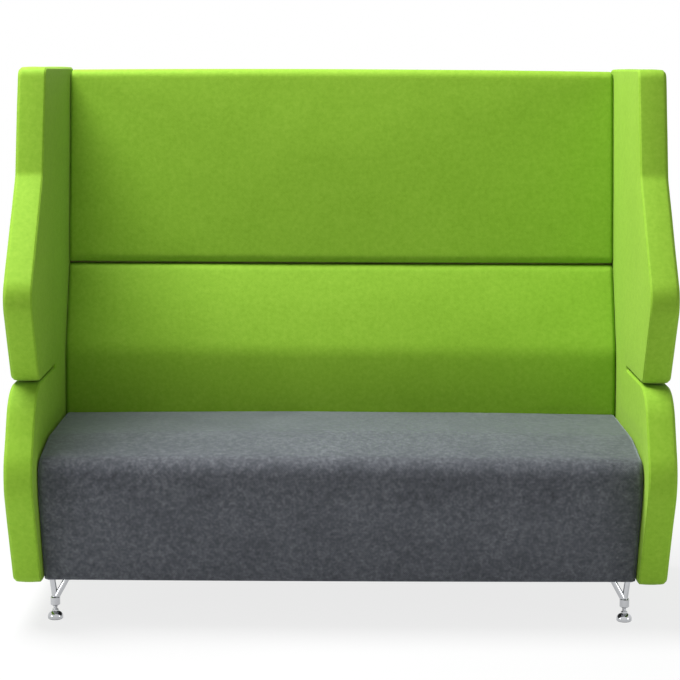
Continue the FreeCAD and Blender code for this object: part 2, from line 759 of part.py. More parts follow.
def foot_stud(foot_y):
    """Threaded stud, screwed out by its travel, with a collar that ends it under the hub."""
    stud_length = leg_bore_top - stud_top_gap - foot_travel - socket_floor
    shank = Part.makeCylinder(stud_radius, stud_length, Vector(leg_x, foot_y, socket_floor))
    collar = hexagon_face(collar_flats, Vector(leg_x, foot_y, collar_low), False)
    collar_height = leg_hub_bottom - collar_stop_gap - foot_travel - collar_low
    return shank.fuse(collar.extrude(Vector(0, 0, collar_height)))


def foot_pad(foot_y):
    """Rubber disc that meets the floor."""
    return Part.makeCylinder(foot_pad_radius, foot_pad_thickness, Vector(leg_x, foot_y, 0))


foot_makers = {"foot_dome_": foot_dome, "foot_stud_": foot_stud, "foot_pad_": foot_pad}
for where, (leg_y, _) in leg_places.items():
    for name, maker in foot_makers.items():
        piece = maker(leg_y)
        nodes[name + where + "_right"] = piece
        nodes[name + where + "_left"] = mirrored(piece)

# Every piece under its own name
handed = {
    "side_cover": side_cover,
    "side_foam_inner": side_foam_inner,
    "side_core": side_core,
    "side_foam_outer": side_foam_outer,
    "seat_side_rail": seat_side_rail,
    "back_stile": back_stile,
}
for name, piece in handed.items():
    nodes[name + "_right"] = piece
    nodes[name + "_left"] = mirrored(piece)

both_sides = {
    "acoustic_infill": [infill_right],
    "corner_blocks": corner_blocks,
    "panel_bolts": panel_bolts,
    "panel_washers": panel_washers,
    "panel_tnuts": panel_tnuts,
    "leg_screws": leg_screws,
}
for name, pieces in both_sides.items():
    nodes[name] = Part.makeCompound(pieces + [mirrored(piece) for piece in pieces])

nodes["seat_front_rail"] = seat_front_rail
nodes["seat_rear_rail"] = seat_rear_rail
nodes["seat_centre_rail"] = seat_centre_rail
nodes["seat_webbing"] = Part.makeCompound(seat_straps)
nodes["seat_foam"] = seat_foam
nodes["seat_cover"] = seat_cover
nodes["dust_cloth"] = dust_cloth
nodes["back_centre_stile"] = back_centre_stile
nodes["upper_back_board"] = slab(upper_board_corners, -inner_half, inner_half)
nodes["upper_back_foam"] = upper_back_foam
nodes["upper_back_cover"] = upper_back_cover
nodes["lumbar_webbing"] = Part.makeCompound(lumbar_straps)
nodes["lumbar_foam"] = lumbar_foam
nodes["lumbar_cover"] = lumbar_cover
nodes["rear_board"] = rear_board
nodes["rear_cover"] = rear_cover

os.makedirs("parts", exist_ok=True)
for name, shape in nodes.items():
    shape.exportStep("parts/" + name + ".step")
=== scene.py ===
import json
import math

import bmesh
import bpy
import numpy as np
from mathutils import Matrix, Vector, geometry, noise


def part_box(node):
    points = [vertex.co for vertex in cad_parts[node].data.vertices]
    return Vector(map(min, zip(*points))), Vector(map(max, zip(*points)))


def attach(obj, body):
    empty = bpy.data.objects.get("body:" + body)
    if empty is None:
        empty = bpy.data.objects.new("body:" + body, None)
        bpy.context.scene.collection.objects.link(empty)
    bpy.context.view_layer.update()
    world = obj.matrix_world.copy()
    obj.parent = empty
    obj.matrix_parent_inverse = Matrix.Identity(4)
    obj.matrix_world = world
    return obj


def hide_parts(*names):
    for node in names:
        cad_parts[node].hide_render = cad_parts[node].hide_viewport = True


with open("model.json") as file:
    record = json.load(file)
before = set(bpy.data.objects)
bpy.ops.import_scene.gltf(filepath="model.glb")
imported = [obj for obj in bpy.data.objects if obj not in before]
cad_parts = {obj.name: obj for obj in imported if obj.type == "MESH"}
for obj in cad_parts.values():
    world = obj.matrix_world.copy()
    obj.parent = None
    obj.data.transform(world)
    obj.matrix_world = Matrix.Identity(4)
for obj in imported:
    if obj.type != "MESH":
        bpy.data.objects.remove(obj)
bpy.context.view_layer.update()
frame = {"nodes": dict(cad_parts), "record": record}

# Boxes of the pieces that the upholstery stands for
side_low, side_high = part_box("side_cover_right")
_, seat_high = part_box("seat_cover")
lumbar_low, lumbar_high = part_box("lumbar_cover")
upper_low, upper_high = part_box("upper_back_cover")
rear_low, rear_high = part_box("rear_cover")
dust_low, dust_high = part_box("dust_cloth")

# Side panel outline
base = side_low.z
wing_top_y = -0.100
crease_y = -0.172
crease_z = 1.100
crease_radius = 0.040
wing_bulge_y = -0.396
wing_bulge_z = 0.820
wing_bulge_radius = 0.075
wing_lip_y = -0.282
wing_lip_radius = 0.025
slit_low = 0.600
slit_high = 0.606
slit_end_y = -0.020
slit_end_radius = 0.0027
arm_lip_y = -0.330
arm_lip_radius = 0.120
arm_bulge_y = -0.4374
arm_bulge_z = 0.392
arm_bulge_radius = 0.135
arm_foot_y = -0.307
rear_foot_y = 0.330
side_corner_radius = 0.028
side_inner_radius = 0.006
side_outer_radius = 0.012
side_crown = 0.0035
side_crown_reach = 0.090         # from the rim to the full crown
inner_crown_share = 0.5          # the inner faces are flatter
inner_crown_rise = 0.020         # and flat up to this far above the seat
band_crown = 0.0012

# Seat section
seat_rear_y = seat_high.y
seat_crown = 0.005
seat_side_gap = 0.0015           # left free beside the side panels
seat_half = side_low.x - seat_side_gap
seat_top = seat_high.z - seat_crown
seat_floor = 0.312
seat_nose_y = -0.365
seat_nose_z = 0.424
seat_nose_radius = 0.045
seat_break_y = -0.170
seat_break_radius = 0.250
seat_rear_radius = 0.015
seat_chin_y = -0.351
seat_chin_z = 0.325
seat_chin_radius = 0.080
apron_foot_y = -0.276
apron_foot_radius = 0.005
apron_depth = 0.0233
seat_edge_radius = 0.014

# Back sections
recline = math.tan(math.radians(8.8))
back_face_y = 0.200              # upper back plane at the height of the seat top
panel_depth = 0.0343
back_crown = 0.004
back_edge_radius = 0.010
back_top_radius = 0.022
back_rear_radius = 0.013         # tighter, where the cover is drawn over the rear board
seam_radius = 0.018
lip_z = rear_high.z
lumbar_depth = 0.061
lumbar_top_set = 0.002
lumbar_top_radius = 0.026
lumbar_crest_z = 0.620
lumbar_tuck = 0.012              # the face draws back this far from the crest to the seat
lumbar_crest_radius = 0.120
lumbar_seat_radius = 0.040
lumbar_edge_radius = 0.012
lumbar_crown = 0.004
rear_top_y = side_high.y
rear_inset = 0.0005

# Flat cloths
sheet_step = 0.020
sheet_fold = 0.002
rear_lap = 0.002                 # how far the rear cloth slips under the lip of the upper back
rear_groove = 0.0014             # and into the grooves beside the side panels
rear_crown = 0.002
dust_sag = 0.006

# Levelling studs
stud_radius = 0.005
thread_pitch = 0.0015
thread_depth = 0.0009
thread_rows = 6
thread_spokes = 24
thread_chamfer = 0.001
collar_low = 0.019
collar_high = 0.0242
collar_lap = 0.001
collar_chamfer = 0.001
collar_corner = 0.0081
collar_sides = 6
collar_end_share = 0.93          # of the collar's width, left at its ends by the chamfers

# Sewing
seam_depth = 0.0008
seam_degrees = 45                # where the seam lies in a rounding
seam_spread = 9.0                # degrees of the rounding that the seam draws in
arc_degrees = (0, 15, 28, 38, 45, 52, 62, 75, 90)
panel_waves = (0.0007, 0.00025)  # broad and fine waviness of the side panels
pad_waves = (0.0008, 0.0003)     # and of the pads
wave_scales = (4, 17)

# Mesh steps
band_steps = 8
loop_step = 0.007                # along an outline or a section
least_bend = 3                   # steps for each radian of a tight corner
station_step = 0.012             # across a padded piece
face_step = 0.014                # inside a flat face
face_margin = 0.6 * face_step    # left free beside its outline
merge_distance = 1e-7

# Cloth held while a pad swells
seam_hold = 0.004                # beside a seam
panel_hold = 0.002               # this near a side panel's inner face, waves only go inward
seat_rear_hold = 0.004
seat_foot_hold = 0.012           # above the foot of the apron
seat_floor_hold = 0.002
seat_floor_reach = 0.010         # the underside is held from this far behind the apron's front
apron_rear_hold = 0.004
seat_top_rise = 0.030            # the seat is free from this far above its underside
upper_rear_hold = 0.020          # behind the plane of the back
upper_seam_hold = 0.006
lumbar_rear_hold = 0.005
lumbar_seat_hold = 0.012         # above the seat

# Cloth simulation
cloth_frames = 14
cloth_quality = 3
cloth_mass = 0.3
cloth_stretch = 30
cloth_shear = 15
cloth_bending = 3
cloth_pressure = 4
swell_cap = 0.004                # the most that a cover moves
least_move = 1e-9

# Cloth finish
weave_wobble = 40.0              # waves of the threads, per metre
fibre_share = 0.40
clump_share = 0.45
broad_share = 0.15
rub_from = 0.51                  # edges sharper than this are rubbed lighter
rub_full = 0.60
rub_lift = 0.18
cloth_roughness = (0.62, 0.82)
cloth_specular = 0.14
sheen_roughness = 0.45
fuzz_share = 0.8
fuzz_strength = 0.35
fuzz_depth = 0.0007

# Metal finish
cloud_shade = 0.88               # of the colour, where the plating is cloudy
mark_ratio = 12                  # rubbing marks for each cloud
mark_depth = 0.0001

# Stage, light and camera
floor_half = 14.0
floor_shade = 0.62
floor_roughness = 0.9
floor_fade = (0.9, 2.2)          # distances between which the floor turns white
floor_white = (0.8, 1.0)         # share of plain white at those distances
fill_strength = 0.25
camera_place = (-0.0055, -4.96, 1.36)
camera_tilt = 82.09
camera_roll = -0.25
camera_lens = 103.5
sensor_width = 36.0


def back_face(z):
    """Y of the upper back plane at height z."""
    return back_face_y + (z - seat_top) * recline


def rear_face(z):
    """Y of the rear cover at height z."""
    rise = (z - base) / (side_high.z - base)
    return rear_foot_y + (rear_top_y - rear_foot_y) * rise - rear_inset


def apron_front(z):
    """Y of the raked apron at height z."""
    rise = (z - base) / (seat_chin_z - base)
    return apron_foot_y + (seat_chin_y - apron_foot_y) * rise


# Outlines

def corner_arc(before, here, after, radius):
    """Start, end and centre of the arc that rounds a corner."""
    back = (before - here).normalized()
    ahead = (after - here).normalized()
    half = back.angle(ahead) / 2
    reach = radius / math.tan(half)
    centre = here + (back + ahead).normalized() * (radius / math.sin(half)) if radius else here
    return here + back * reach, here + ahead * reach, centre


def rounded_loop(corners, counts=None):
    """Points round an outline of (y, z, radius) corners, and the counts that repeat its layout."""
    places = [Vector((y, z)) for y, z, _ in corners]
    total = len(places)
    arcs = []
    for i in range(total):
        arcs.append(corner_arc(places[i - 1], places[i], places[(i + 1) % total], corners[i][2]))
    points = []
    layout = []
    for index, (start, end, centre) in enumerate(arcs):
        radius = corners[index][2]
        turn = 0.0
        if radius:
            turn = (start - centre).angle_signed(end - centre)
        bend = counts[2 * index] if counts else math.ceil(abs(turn) * max(radius / loop_step, least_bend))
        for step in range(bend):
            spin = -turn * step / bend
            arm = start - centre
            points.append(centre + Vector((arm.x * math.cos(spin) - arm.y * math.sin(spin),
                                           arm.x * math.sin(spin) + arm.y * math.cos(spin))))
        following = arcs[(index + 1) % total][0]
        run = (following - end).length
        straight = counts[2 * index + 1] if counts else max(1, round(run / loop_step))
        points += [end.lerp(following, step / straight) for step in range(straight)]
        layout += [bend, straight]
    return np.array(points), layout


def loop_normals(points):
    """Unit normals of a closed outline, pointing out of it."""
    ahead = np.roll(points, -1, 0) - np.roll(points, 1, 0)
    ahead /= np.linalg.norm(ahead, axis=1)[:, None]
    y, z = points.T
    area = np.sum(y * np.roll(z, -1) - np.roll(y, -1) * z)
    return np.stack([ahead[:, 1], -ahead[:, 0]], 1) * np.sign(area)


def filled(loop):
    """Points inside an outline and the triangles that fill it, numbered after the outline's own points."""
    count = len(loop)
    low = loop.min(0)
    high = loop.max(0)
    inside = []
    ahead = np.roll(loop, -1, 0)
    for z in np.arange(low[1] + face_step / 2, high[1], face_step):
        crosses = (loop[:, 1] > z) != (ahead[:, 1] > z)
        starts = loop[crosses]
        ends = ahead[crosses]
        cuts = np.sort(starts[:, 0] + (z - starts[:, 1]) * (ends - starts)[:, 0] / (ends - starts)[:, 1])
        for left, right in zip(cuts[::2], cuts[1::2]):
            for y in np.arange(math.ceil(left / face_step), right / face_step) * face_step:
                if np.min(np.hypot(loop[:, 0] - y, loop[:, 1] - z)) > face_margin:
                    inside.append((y, z))
    everything = [Vector(p) for p in loop] + [Vector(p) for p in inside]
    edges = [(i, (i + 1) % count) for i in range(count)]
    _, _, faces, sources, _, _ = geometry.delaunay_2d_cdt(everything, edges, [], 1, merge_distance)
    number = [source[0] for source in sources]
    triangles = [[number[corner] for corner in face] for face in faces]
    return np.array(inside).reshape(-1, 2), triangles


# Meshes

def make_piece(name, vertices, faces):
    """A smooth mesh object whose faces all point outward."""
    mesh = bpy.data.meshes.new(name)
    mesh.from_pydata([tuple(v) for v in vertices], [], faces)
    shell = bmesh.new()
    shell.from_mesh(mesh)
    bmesh.ops.recalc_face_normals(shell, faces=shell.faces)
    shell.to_mesh(mesh)
    shell.free()
    mesh.shade_smooth()
    piece = bpy.data.objects.new(name, mesh)
    bpy.context.scene.collection.objects.link(piece)
    return piece


def ring_faces(rings, count):
    """Four-sided faces between neighbouring rings of vertices."""
    faces = []
    for ring in range(rings - 1):
        low = ring * count
        for i in range(count):
            j = (i + 1) % count
            faces.append((low + i, low + j, low + count + j, low + count + i))
    return faces


def face_numbers(triangles, ring, count, start):
    """Triangles of a filled ring, numbered by the ring's vertices and those inside it from start on."""
    first = ring * count
    return [[first + c if c < count else start + c - count for c in triangle] for triangle in triangles]


def coordinates(piece):
    """The vertices of a mesh as an array."""
    places = np.zeros(len(piece.data.vertices) * 3)
    piece.data.vertices.foreach_get("co", places)
    return places.reshape(-1, 3)


def set_coordinates(piece, places):
    """Writes an array back to the vertices of a mesh."""
    piece.data.vertices.foreach_set("co", places.ravel())
    piece.data.update()


def add_cloth_map(piece):
    """Flat cloth coordinates in metres, chosen by the way each face looks."""
    mesh = piece.data
    layer = mesh.uv_layers.new(name="cloth")
    places = coordinates(piece)
    pairs = {0: (1, 2), 1: (0, 2), 2: (0, 1)}
    for polygon in mesh.polygons:
        across, along = pairs[int(np.argmax(np.abs(polygon.normal)))]
        for loop in polygon.loop_indices:
            place = places[mesh.loops[loop].vertex_index]
            layer.data[loop].uv = (place[across], place[along])


def unevenness(places, seed, broad, fine):
    """Gentle waviness for each point, in metres."""
    wave = np.zeros(len(places))
    shift = Vector((seed, seed * 2, seed * 3))
    broad_scale, fine_scale = wave_scales
    for index, place in enumerate(places):
        where = Vector(place)
        wave[index] = broad * noise.noise(where * broad_scale + shift)
        wave[index] += fine * noise.noise(where * fine_scale + shift)
    return wave


def vertex_normals(piece):
    """The normals of a mesh's vertices as an array."""
    normals = np.zeros(len(piece.data.vertices) * 3)
    piece.data.vertex_normals.foreach_get("vector", normals)
    return normals.reshape(-1, 3)


def inflate(piece, held):
    """Blows the cover up against its held seams with a cloth simulation, scaled to the cap."""
    group = piece.vertex_groups.new(name="held")
    group.add([int(i) for i in np.nonzero(held)[0]], 1.0, "REPLACE")
    cloth = piece.modifiers.new("cloth", "CLOTH")
    settings = cloth.settings
    settings.quality = cloth_quality
    settings.mass = cloth_mass
    settings.tension_stiffness = cloth_stretch
    settings.compression_stiffness = cloth_stretch
    settings.shear_stiffness = cloth_shear
    settings.bending_stiffness = cloth_bending
    settings.use_pressure = True
    settings.uniform_pressure_force = cloth_pressure
    settings.vertex_group_mass = "held"
    settings.effector_weights.gravity = 0
    cloth.collision_settings.use_collision = False
    cloth.point_cache.frame_start = 1
    cloth.point_cache.frame_end = cloth_frames
    scene = bpy.context.scene
    for step in range(1, cloth_frames + 1):
        scene.frame_set(step)
    blown = piece.evaluated_get(bpy.context.evaluated_depsgraph_get())
    result = np.zeros(len(piece.data.vertices) * 3)
    blown.data.vertices.foreach_get("co", result)
    rest = coordinates(piece)
    moved = result.reshape(-1, 3) - rest
    moved *= min(1.0, swell_cap / max(np.linalg.norm(moved, axis=1).max(), least_move))
    piece.modifiers.remove(cloth)
    piece.vertex_groups.remove(group)
    scene.frame_set(1)
    set_coordinates(piece, rest + moved)


# Side panels

side_corners = [
    (rear_foot_y, base, side_corner_radius),
    (arm_foot_y, base, side_corner_radius),
    (arm_bulge_y, arm_bulge_z, arm_bulge_radius),
    (arm_lip_y, slit_low, arm_lip_radius),
    (slit_end_y, slit_low, slit_end_radius),
    (slit_end_y, slit_high, slit_end_radius),
    (wing_lip_y, slit_high, wing_lip_radius),
    (wing_bulge_y, wing_bulge_z, wing_bulge_radius),
    (crease_y, crease_z, crease_radius),
    (wing_top_y, side_high.z, side_corner_radius),
    (rear_top_y, side_high.z, side_corner_radius),
]


def pinched_arc(radius):
    """(inset, depth) steps round a quarter turn, drawn in along the seam at its middle."""
    steps = []
    for degrees in arc_degrees:
        angle = math.radians(degrees)
        pinch = seam_depth * math.exp(-((degrees - seam_degrees) / seam_spread) ** 2)
        steps.append((radius * (1 - math.sin(angle)) + pinch, radius * (1 - math.cos(angle)) + pinch))
    return steps


def band_section():
    """(inset, x) steps across a side panel's edge, from the inner face round the band to the outer face."""
    inner = [(inset, side_low.x + depth) for inset, depth in pinched_arc(side_inner_radius)]
    outer = [(inset, side_high.x - depth) for inset, depth in pinched_arc(side_outer_radius)]
    start = side_low.x + side_inner_radius
    width = side_high.x - side_outer_radius - start
    band = []
    for step in range(1, band_steps):
        share = step / band_steps
        band.append((-band_crown * math.sin(share * math.pi), start + width * share))
    return inner + band + outer[::-1]


def side_panel(name, side, seed):
    """One padded side board, its faces crowned and its rims sewn to a band."""
    loop, _ = rounded_loop(side_corners)
    normals = loop_normals(loop)
    count = len(loop)
    depths = band_section()
    vertices = []
    for inset, x in depths:
        ring = loop - normals * inset
        vertices += [(x, y, z) for y, z in ring]
    faces = ring_faces(len(depths), count)
    for ring, x, out in ((0, side_low.x, -1), (len(depths) - 1, side_high.x, 1)):
        rim = loop - normals * depths[ring][0]
        inside, triangles = filled(rim)
        start = len(vertices)
        for y, z in inside:
            away = np.min(np.hypot(rim[:, 0] - y, rim[:, 1] - z))
            swell = side_crown * (1 - (1 - min(away / side_crown_reach, 1)) ** 2)
            if out < 0:
                free = (back_face(z) - lumbar_depth - y) / side_crown_reach
                above_seat = z > seat_top + inner_crown_rise
                swell *= inner_crown_share * min(max(free, 0), 1) if above_seat else 0
            vertices.append((x + out * swell, y, z))
        faces += face_numbers(triangles, ring, count, start)
    vertices = np.array(vertices)
    vertices[:, 0] *= side
    piece = make_piece(name, vertices, faces)
    places = coordinates(piece)
    held = np.abs(np.abs(places[:, 0]) - side_low.x) < panel_hold
    wave = unevenness(places, seed, *panel_waves)
    wave[held] = np.minimum(wave[held], 0)
    set_coordinates(piece, places + vertex_normals(piece) * wave[:, None])
    return piece


# Lofted pads

def stations(half, edge_radius, crown):
    """(x, draw) across a pad, with a sewn seam round each of its rounded ends."""
    flat = half - edge_radius
    steps = math.ceil(flat / station_step)
    across = [(flat * i / steps, -crown * (1 - (i / steps) ** 2)) for i in range(steps)]
    across += [(half - inset, draw) for inset, draw in pinched_arc(edge_radius)]
    return [(-x, draw) for x, draw in across[:0:-1]] + across


def padded_loft(name, profile, half, edge_radius, crown):
    """A pad whose section profile(draw) runs along X, closed at both ends."""
    _, layout = rounded_loop(profile(0.0))
    vertices = []
    across = stations(half, edge_radius, crown)
    loops = [rounded_loop(profile(draw), layout)[0] for _, draw in across]
    for (x, _), loop in zip(across, loops):
        vertices += [(x, y, z) for y, z in loop]
    count = len(loops[0])
    faces = ring_faces(len(across), count)
    for ring in (0, len(across) - 1):
        inside, triangles = filled(loops[ring])
        start = len(vertices)
        vertices += [(across[ring][0], y, z) for y, z in inside]
        faces += face_numbers(triangles, ring, count, start)
    return make_piece(name, np.array(vertices), faces)


def seat_profile(draw):
    """Section of the seat: top, nose and raked apron."""
    return [
        (seat_rear_y, seat_floor, 0.0),
        (seat_rear_y, seat_top - draw, seat_rear_radius),
        (seat_break_y, seat_top - draw, seat_break_radius),
        (seat_nose_y + draw, seat_nose_z - draw, seat_nose_radius),
        (seat_chin_y + draw, seat_chin_z, seat_chin_radius),
        (apron_foot_y + draw, base, apron_foot_radius),
        (apron_foot_y + apron_depth + draw, base, apron_foot_radius),
        (apron_front(seat_floor) + apron_depth, seat_floor, 0.0),
    ]


def upper_profile(draw):
    """Section of the upper back: reclined front, rounded top and a lip down the rear."""
    top = upper_high.z - back_crown - draw
    return [
        (back_face(upper_low.z) + draw, upper_low.z, seam_radius),
        (back_face(top) + draw, top, back_top_radius),
        (rear_face(top), top, back_rear_radius),
        (rear_face(lip_z), lip_z, 0.0),
        (back_face(lip_z) + panel_depth, lip_z, 0.0),
        (back_face(upper_low.z) + panel_depth, upper_low.z, 0.0),
    ]


def lumbar_profile(draw):
    """Section of the lumbar panel: a ramp out to the crest, then down behind the seat."""
    seat_y = back_face(seat_top) - lumbar_depth + lumbar_tuck
    return [
        (back_face(lumbar_low.z) + panel_depth, lumbar_low.z, 0.0),
        (back_face(lumbar_high.z) + panel_depth, lumbar_high.z, 0.0),
        (back_face(lumbar_high.z) + lumbar_top_set + draw, lumbar_high.z, lumbar_top_radius),
        (back_face(lumbar_crest_z) - lumbar_depth + draw, lumbar_crest_z, lumbar_crest_radius),
        (seat_y + max(draw, 0), seat_top, lumbar_seat_radius),
        (seat_y + max(draw, 0), lumbar_low.z, 0.0),
    ]


def soften(piece, held, seed):
    """Simulated swell and a little waviness on the free part of a pad."""
    inflate(piece, held)
    places = coordinates(piece)
    wave = unevenness(places, seed, *pad_waves)
    wave[held] = 0
    set_coordinates(piece, places + vertex_normals(piece) * wave[:, None])


def seat_pad():
    """The seat, held along its ends, its rear edge and under the apron."""
    piece = padded_loft("seat_pad", seat_profile, seat_half, seat_edge_radius, seat_crown)
    x, y, z = coordinates(piece).T
    ends = np.abs(x) > seat_half - seat_edge_radius - seam_hold
    held = ends | (y > seat_rear_y - seat_rear_hold) | (z < base + seat_foot_hold)
    held |= (z < seat_floor + seat_floor_hold) & (y > apron_front(seat_floor) + seat_floor_reach)
    held |= y > apron_front(z) + apron_depth - apron_rear_hold
    top = (z > seat_floor + seat_top_rise) & (y < seat_rear_y - seat_rear_hold)
    held &= ends | ~top
    soften(piece, held, 1)
    return piece


def upper_back_pad():
    """The upper back, held along its ends, behind and at the groove."""
    piece = padded_loft("upper_back_pad", upper_profile, upper_high.x, back_edge_radius, back_crown)
    x, y, z = coordinates(piece).T
    held = np.abs(x) > upper_high.x - back_edge_radius - seam_hold
    held |= (y > back_face(z) + upper_rear_hold) | (z < upper_low.z + upper_seam_hold)
    soften(piece, held, 2)
    return piece


def lumbar_pad():
    """The lumbar panel, held along its ends, behind and at the seat."""
    piece = padded_loft("lumbar_pad", lumbar_profile, lumbar_high.x, lumbar_edge_radius, lumbar_crown)
    x, y, z = coordinates(piece).T
    held = np.abs(x) > lumbar_high.x - lumbar_edge_radius - seam_hold
    held |= (y > back_face(z) + lumbar_rear_hold) | (z < seat_top + lumbar_seat_hold)
    soften(piece, held, 3)
    return piece


# Flat cloths

def stretched_sheet(name, half, length, place):
    """A sheet whose point at (across, along) is given by place, with its borders tucked in."""
    columns = math.ceil(2 * half / sheet_step)
    rows = math.ceil(length / sheet_step)
    across = half * np.sin(np.linspace(-math.pi / 2, math.pi / 2, columns + 1))
    along = length * (1 - np.cos(np.linspace(0, math.pi, rows + 1))) / 2
    vertices = []
    for v in along:
        for u in across:
            edge = min(half - abs(u), v, length - v, sheet_fold)
            tuck = sheet_fold - math.sqrt(sheet_fold ** 2 - (sheet_fold - edge) ** 2)
            swell = math.sin(math.pi * v / length) * math.cos(math.pi / 2 * u / half)
            vertices.append(place(u, v, tuck, swell))
    faces = []
    for row in range(rows):
        for column in range(columns):
            low = row * (columns + 1) + column
            faces.append((low, low + 1, low + columns + 2, low + columns + 1))
    return make_piece(name, np.array(vertices), faces)


def rear_cloth():
    """The cover stretched over the rear board, down the sloping back."""
    half = side_low.x + rear_groove
    rise = rear_high.z + rear_lap - rear_low.z
    run = rear_face(rear_low.z + rise) - rear_face(rear_low.z)
    length = math.hypot(rise, run)
    out = Vector((0, rise, -run)) / length

    def place(u, v, tuck, swell):
        z = rear_low.z + rise * v / length
        return Vector((u, rear_face(z), z)) + out * (rear_crown * swell - tuck)

    return stretched_sheet("rear_cloth", half, length, place), (2 * half, length)


def underside_cloth():
    """The dust cloth stapled under the frame, sagging a little between the rails."""
    length = dust_high.y - dust_low.y

    def place(u, v, tuck, swell):
        return Vector((u, dust_low.y + v, dust_low.z - dust_sag * swell + tuck))

    return stretched_sheet("underside_cloth", dust_high.x, length, place), (2 * dust_high.x, length)


# Levelling studs

def around_axis(low, high, radius, turn, level):
    """The point at an angle round the upright axis of a box."""
    x = (low.x + high.x) / 2 + radius * math.cos(turn)
    y = (low.y + high.y) / 2 + radius * math.sin(turn)
    return x, y, level


def thread_rings(shell, low, high):
    """Rings of vertices up a plain shank, the cut thread above it and its chamfered tip."""
    thread_start = collar_high - collar_lap
    levels = [low.z]
    levels += list(np.arange(thread_start, high.z - thread_chamfer, thread_pitch / thread_rows))
    levels.append(high.z)
    rings = []
    for level in levels:
        ring = []
        for spoke in range(thread_spokes):
            turn = 2 * math.pi * spoke / thread_spokes
            phase = ((level - collar_high) / thread_pitch + spoke / thread_spokes) % 1
            radius = stud_radius
            if level > thread_start:
                radius -= thread_depth * abs(2 * phase - 1)
            if level == high.z:
                radius = stud_radius - thread_chamfer
            ring.append(shell.verts.new(around_axis(low, high, radius, turn, level)))
        rings.append(ring)
    return rings


def collar_rings(shell, low, high):
    """Rings of vertices up the chamfered hexagon collar."""
    rings = []
    for level, share in ((collar_low, collar_end_share), (collar_low + collar_chamfer, 1.0),
                         (collar_high - collar_chamfer, 1.0), (collar_high, collar_end_share)):
        ring = []
        for corner in range(collar_sides):
            turn = 2 * math.pi * corner / collar_sides
            ring.append(shell.verts.new(around_axis(low, high, collar_corner * share, turn, level)))
        rings.append(ring)
    return rings


def close_rings(shell, rings):
    """Faces between neighbouring rings and over both ends."""
    faces = []
    for below, above in zip(rings, rings[1:]):
        for i in range(len(below)):
            j = (i + 1) % len(below)
            faces.append(shell.faces.new((below[i], below[j], above[j], above[i])))
    faces.append(shell.faces.new(rings[0][::-1]))
    faces.append(shell.faces.new(rings[-1]))
    return faces


def threaded_stud(name, node):
    """A stud with a cut thread above its hexagon collar and a plain shank below."""
    low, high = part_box(node)
    shell = bmesh.new()
    close_rings(shell, thread_rings(shell, low, high))
    flats = close_rings(shell, collar_rings(shell, low, high))
    for face in shell.faces:
        face.smooth = face not in flats
    mesh = bpy.data.meshes.new(name)
    shell.to_mesh(mesh)
    shell.free()
    piece = bpy.data.objects.new(name, mesh)
    bpy.context.scene.collection.objects.link(piece)
    return piece


# Materials

def new_material(name):
    """An empty node material with its principled shader."""
    made = bpy.data.materials.new(name)
    made.use_nodes = True
    return made, made.node_tree, made.node_tree.nodes["Principled BSDF"]


def add_node(tree, kind, values=None, **settings):
    """A node with its settings and the values of its named inputs."""
    made = tree.nodes.new(kind)
    for key, value in settings.items():
        setattr(made, key, value)
    for key, value in (values or {}).items():
        made.inputs[key].default_value = value
    return made


def math_node(tree, operation, first, second=None, third=None):
    """One arithmetic step on sockets or plain numbers."""
    made = tree.nodes.new("ShaderNodeMath")
    made.operation = operation
    for index, value in enumerate((first, second, third)):
        if value is None:
            continue
        if isinstance(value, (int, float)):
            made.inputs[index].default_value = value
        else:
            tree.links.new(value, made.inputs[index])
    return made.outputs[0]


def noise_at(tree, vector, scale, detail=2.0, roughness=0.5):
    """A noise texture's factor."""
    made = add_node(tree, "ShaderNodeTexNoise", {"Scale": scale, "Detail": detail, "Roughness": roughness})
    tree.links.new(vector, made.inputs["Vector"])
    return made.outputs["Fac"]


def ramp(tree, factor, stops):
    """A colour ramp through (position, colour) stops."""
    made = tree.nodes.new("ShaderNodeValToRGB")
    elements = made.color_ramp.elements
    for index, (position, colour) in enumerate(stops):
        element = elements[index] if index < 2 else elements.new(position)
        element.position = position
        element.color = (*colour, 1)
    tree.links.new(factor, made.inputs["Fac"])
    return made.outputs["Color"]


def weave_height(tree, pitch):
    """Height of a plain weave of the given thread pitch, from the flat cloth coordinates."""
    flat = add_node(tree, "ShaderNodeUVMap", uv_map="cloth").outputs["UV"]
    wobble = add_node(tree, "ShaderNodeTexNoise", {"Scale": weave_wobble, "Detail": 1.0})
    tree.links.new(flat, wobble.inputs["Vector"])
    shifted = add_node(tree, "ShaderNodeVectorMath", operation="MULTIPLY_ADD")
    tree.links.new(wobble.outputs["Color"], shifted.inputs[0])
    shifted.inputs[1].default_value = (pitch / 2, pitch / 2, 0)
    tree.links.new(flat, shifted.inputs[2])
    parts = tree.nodes.new("ShaderNodeSeparateXYZ")
    tree.links.new(shifted.outputs[0], parts.inputs[0])
    warp = math_node(tree, "SINE", math_node(tree, "MULTIPLY", parts.outputs["X"], math.pi / pitch))
    weft = math_node(tree, "SINE", math_node(tree, "MULTIPLY", parts.outputs["Y"], math.pi / pitch))
    crossing = math_node(tree, "MULTIPLY", warp, weft)
    return math_node(tree, "MULTIPLY_ADD", crossing, 0.5, 0.5)


def add_bump(tree, shader, height, strength, distance):
    """Connects a height to the shader's normal."""
    bump = add_node(tree, "ShaderNodeBump", {"Strength": strength, "Distance": distance})
    tree.links.new(height, bump.inputs["Height"])
    tree.links.new(bump.outputs["Normal"], shader.inputs["Normal"])


def set_roughness(tree, shader, factor, limits):
    """Roughness that follows a factor between two limits."""
    spread = add_node(tree, "ShaderNodeMapRange", {"To Min": limits[0], "To Max": limits[1]})
    tree.links.new(factor, spread.inputs["Value"])
    tree.links.new(spread.outputs["Result"], shader.inputs["Roughness"])


